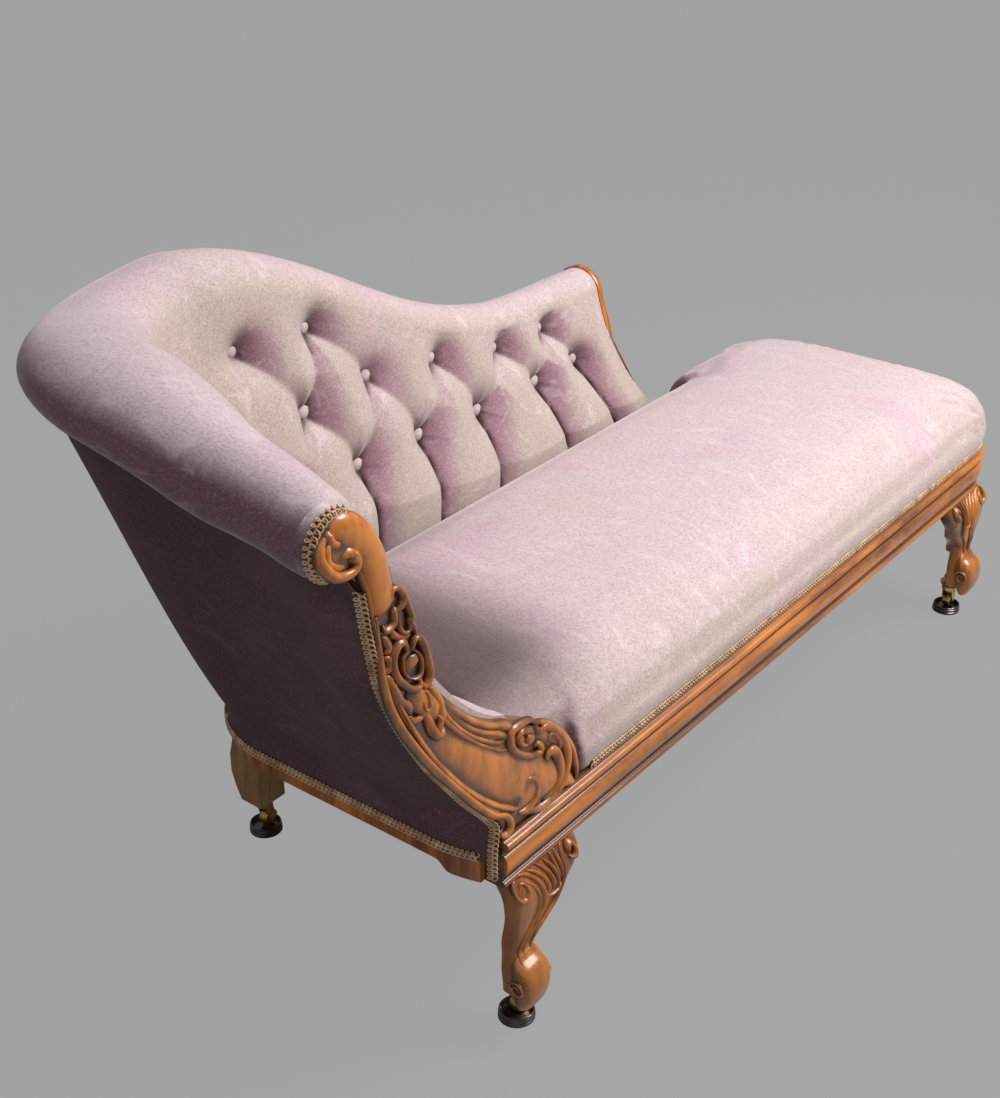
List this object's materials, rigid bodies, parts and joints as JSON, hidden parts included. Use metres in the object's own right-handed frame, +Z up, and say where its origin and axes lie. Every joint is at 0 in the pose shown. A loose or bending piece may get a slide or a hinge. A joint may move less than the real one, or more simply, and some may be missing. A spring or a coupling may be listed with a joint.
{
  "type": "fainting couch",
  "caption": "Upholstered chaise longue with a scrolled head, tufted half back, carved facing, moulded rails and cabriole legs on castors that stand in cups.",
  "frame": {"origin": "on the floor under the middle of the outer box", "axes": "+X along the couch from the head to the foot, +Y from the open front to the back, +Z up"},
  "size_m": [1.7821, 0.7314, 0.8998],
  "materials": {
    "walnut": "French-polished, worn along the edges",
    "leg_walnut": "French-polished, dark in the carving",
    "facing_walnut": "French-polished, golden where rubbed",
    "carving_walnut": "French-polished, dark in the hollows",
    "sawn_wood": "dull, sawn",
    "frame_wood": "raw, sawn",
    "webbing": "coarse jute weave",
    "canvas": "plain hessian weave",
    "dust_cloth": "thin black cloth",
    "braid": "looped cotton braid",
    "velvet": "short velvet pile",
    "roll_velvet": "short velvet pile",
    "outside_velvet": "short velvet pile, in shade",
    "spring_steel": "coppered wire, dull",
    "steel": "plain turned",
    "castor_brass": "worn, lacquered",
    "cup": "glossy, turned ridges"
  },
  "bodies": {
    "frame": {"front_rail": "walnut", "foot_front_corner": "walnut", "foot_rail": "walnut", "foot_back_corner": "walnut", "back_rail": "frame_wood", "head_corner": "walnut", "head_rail": "walnut", "corner_blocks": "frame_wood", "leg_front_head": "leg_walnut", "leg_front_foot": "leg_walnut", "leg_back_head": "sawn_wood", "leg_back_foot": "sawn_wood", "leg_dowels": "frame_wood", "scroll_facing": "facing_walnut", "facing_carving": "carving_walnut", "back_end_slip": "facing_walnut", "head_posts": "frame_wood", "head_top_rail": "frame_wood", "back_posts": "frame_wood", "back_top_rail": "frame_wood", "webbing": "webbing", "springs": "spring_steel", "spring_canvas": "canvas", "dust_cover": "dust_cloth", "seat": "velvet", "head_pad": "velvet", "corner_pad": "velvet", "back_pad": "velvet", "back_buttons": "velvet", "head_roll": "roll_velvet", "corner_roll": "roll_velvet", "back_roll": "roll_velvet", "outside_head": "outside_velvet", "outside_corner": "outside_velvet", "outside_back": "outside_velvet", "gimp_braid": "braid", "castor_screws": "steel", "castor_plate_front_head": "castor_brass", "castor_plate_front_foot": "castor_brass", "castor_plate_back_head": "castor_brass", "castor_plate_back_foot": "castor_brass", "castor_cup_front_head": "cup", "castor_cup_front_foot": "cup", "castor_cup_back_head": "cup", "castor_cup_back_foot": "cup"},
    "swivel_front_head": {"castor_horn_front_head": "castor_brass", "castor_axle_front_head": "steel"},
    "wheel_front_head": {"castor_wheel_front_head": "castor_brass"},
    "swivel_front_foot": {"castor_horn_front_foot": "castor_brass", "castor_axle_front_foot": "steel"},
    "wheel_front_foot": {"castor_wheel_front_foot": "castor_brass"},
    "swivel_back_head": {"castor_horn_back_head": "castor_brass", "castor_axle_back_head": "steel"},
    "wheel_back_head": {"castor_wheel_back_head": "castor_brass"},
    "swivel_back_foot": {"castor_horn_back_foot": "castor_brass", "castor_axle_back_foot": "steel"},
    "wheel_back_foot": {"castor_wheel_back_foot": "castor_brass"}
  },
  "joints": [
    {"name": "swivel_front_head", "type": "hinge", "parent": "frame", "child": "swivel_front_head", "pos_m": [-0.56224, -0.31969, 0.05], "axis": [0, 0, 1], "continuous": true},
    {"name": "wheel_front_head", "type": "hinge", "parent": "swivel_front_head", "child": "wheel_front_head", "pos_m": [-0.55624, -0.31969, 0.0203], "axis": [0, 1, 0], "continuous": true},
    {"name": "swivel_front_foot", "type": "hinge", "parent": "frame", "child": "swivel_front_foot", "pos_m": [0.77876, -0.31969, 0.05], "axis": [0, 0, 1], "continuous": true},
    {"name": "wheel_front_foot", "type": "hinge", "parent": "swivel_front_foot", "child": "wheel_front_foot", "pos_m": [0.78476, -0.31969, 0.0203], "axis": [0, 1, 0], "continuous": true},
    {"name": "swivel_back_head", "type": "hinge", "parent": "frame", "child": "swivel_back_head", "pos_m": [-0.48224, 0.22131, 0.05], "axis": [0, 0, 1], "continuous": true},
    {"name": "wheel_back_head", "type": "hinge", "parent": "swivel_back_head", "child": "wheel_back_head", "pos_m": [-0.47624, 0.22131, 0.0203], "axis": [0, 1, 0], "continuous": true},
    {"name": "swivel_back_foot", "type": "hinge", "parent": "frame", "child": "swivel_back_foot", "pos_m": [0.69876, 0.22131, 0.05], "axis": [0, 0, 1], "continuous": true},
    {"name": "wheel_back_foot", "type": "hinge", "parent": "swivel_back_foot", "child": "wheel_back_foot", "pos_m": [0.70476, 0.22131, 0.0203], "axis": [0, 1, 0], "continuous": true}
  ]
}
